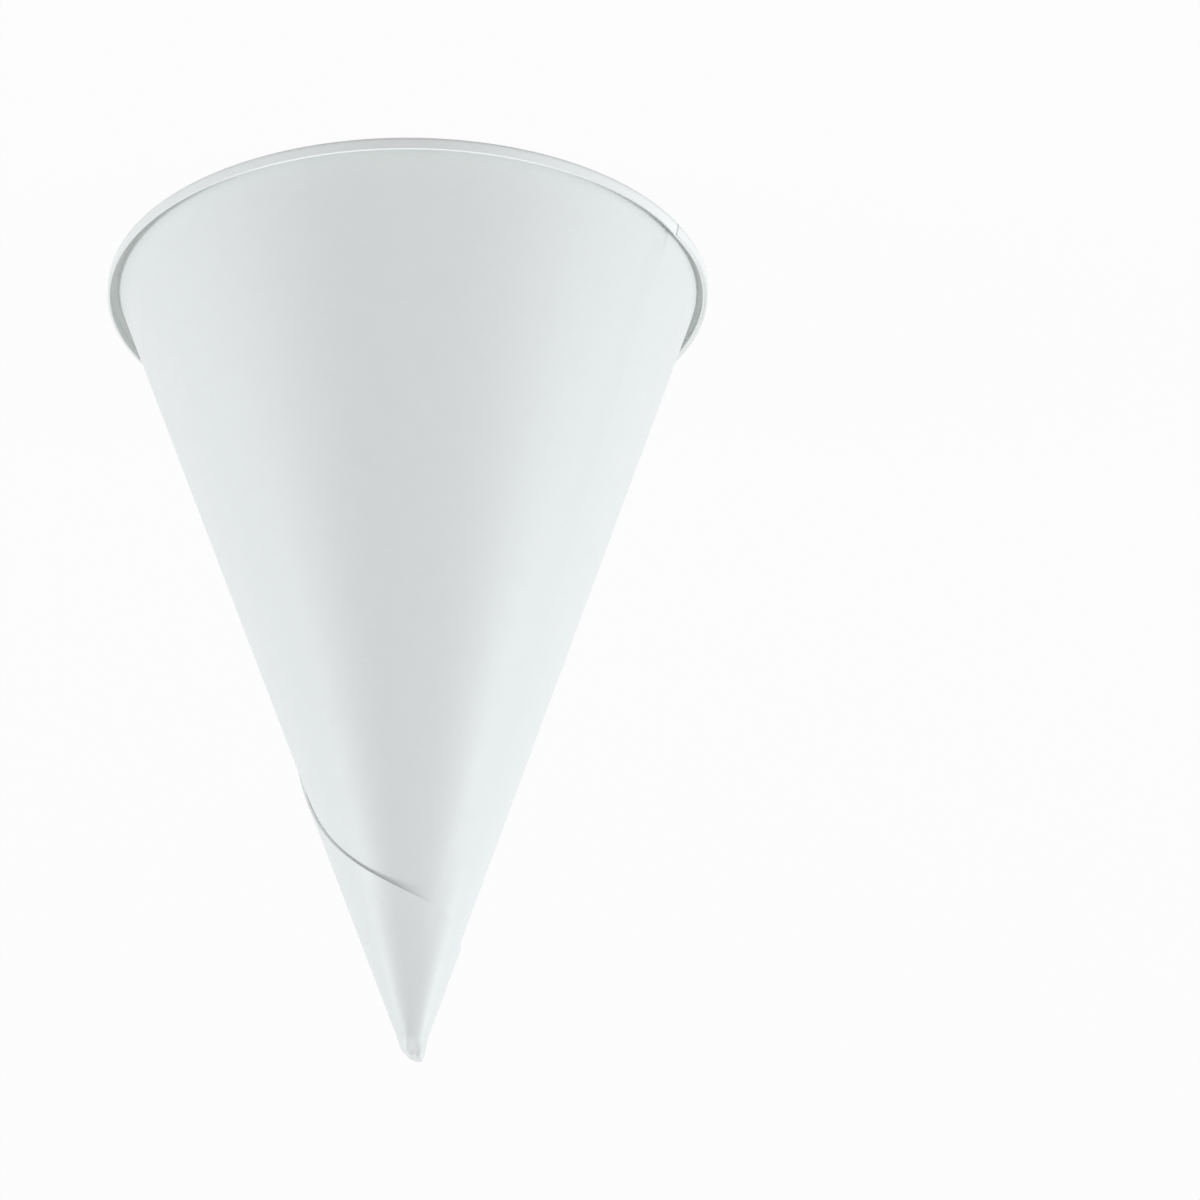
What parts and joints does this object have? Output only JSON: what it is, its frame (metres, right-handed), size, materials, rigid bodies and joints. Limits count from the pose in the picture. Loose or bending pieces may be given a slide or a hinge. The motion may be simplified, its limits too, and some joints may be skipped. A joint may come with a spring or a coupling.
{
  "type": "cone paper cup",
  "caption": "Conical paper drinking cup wound from one sheet, with an open outward-rolled brim, an oblique lapped cut edge and a blunt folded tip.",
  "frame": {"origin": "centre of the plane of the brim's crest, on the axis of the cone; the cup stands mouth down on its brim", "axes": "+Z along the axis of the cone, from the mouth towards the tip; -Y is the side that faces the picture's camera"},
  "size_m": [0.0695, 0.0695, 0.0942],
  "materials": {
    "paper": "matt white cup paper, uncoated look, fine fibre grain"
  },
  "bodies": {
    "root": {"cone_cup": "paper"}
  },
  "joints": []
}
